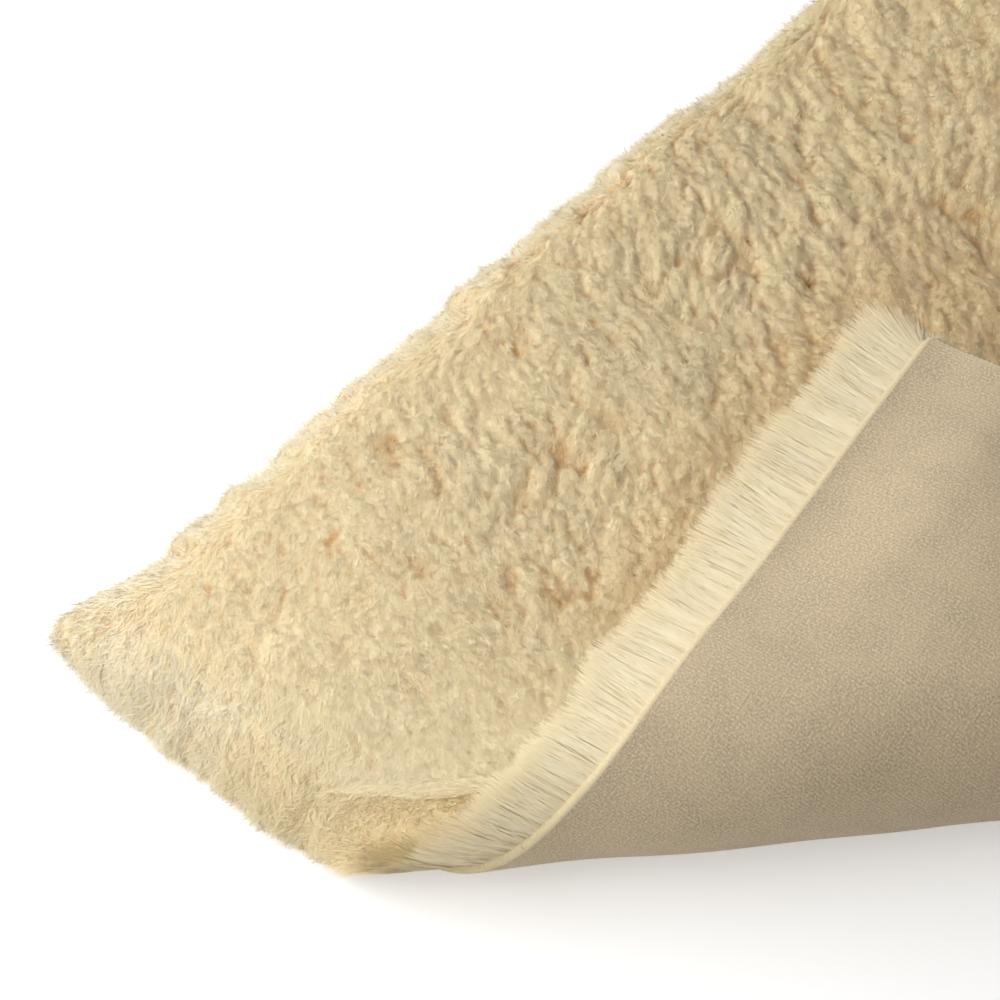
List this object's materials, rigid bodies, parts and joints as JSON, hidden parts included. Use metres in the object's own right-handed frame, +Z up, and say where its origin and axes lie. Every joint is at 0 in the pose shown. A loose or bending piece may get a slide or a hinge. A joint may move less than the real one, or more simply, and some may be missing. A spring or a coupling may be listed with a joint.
{
  "type": "wash mitt",
  "caption": "Wash mitt with a deep pile face, a knitted back and a ribbed cuff; one corner of the finger end is turned over onto the pile and can be laid flat.",
  "frame": {"origin": "on the ground under the middle of the part's box", "axes": "+X along the finger end, from the plain corner toward the turned one; +Y from the finger end toward the cuff; +Z up, out of the pile"},
  "size_m": [0.212, 0.296, 0.0462],
  "materials": {
    "wool": "soft clumped pile",
    "back_knit": "fine smooth knit",
    "ground_knit": "plain knit",
    "edge_thread": "overlock thread",
    "rib_knit": "ribbed knit"
  },
  "bodies": {
    "mitt_body": {"back_panel": "back_knit", "face_cloth": "ground_knit", "wool_pile": "wool", "long_seam": "edge_thread", "short_seam": "edge_thread", "join_seam": "edge_thread", "cuff_band": "rib_knit"},
    "fold_strip": {"back_roll": "back_knit", "face_roll": "ground_knit", "pile_roll": "wool", "finger_roll_seam": "edge_thread", "side_roll_seam": "edge_thread"},
    "corner_flap": {"back_flap": "back_knit", "face_flap": "ground_knit", "pile_flap": "wool", "flap_seam": "edge_thread"}
  },
  "joints": [
    {"name": "fold_open", "type": "hinge", "parent": "mitt_body", "child": "fold_strip", "pos_m": [0.03319, -0.0697, 0.00352], "axis": [0.6561, 0.7547, 0], "range_deg": [0, 87.5]},
    {"name": "corner_open", "type": "hinge", "parent": "fold_strip", "child": "corner_flap", "pos_m": [0.03407, -0.07046, 0.03007], "axis": [0.6561, 0.7547, 0], "range_deg": [0, 87.5]}
  ],
  "couplings": [
    {"joint": "corner_open", "follows": "fold_open", "ratio": 1}
  ]
}
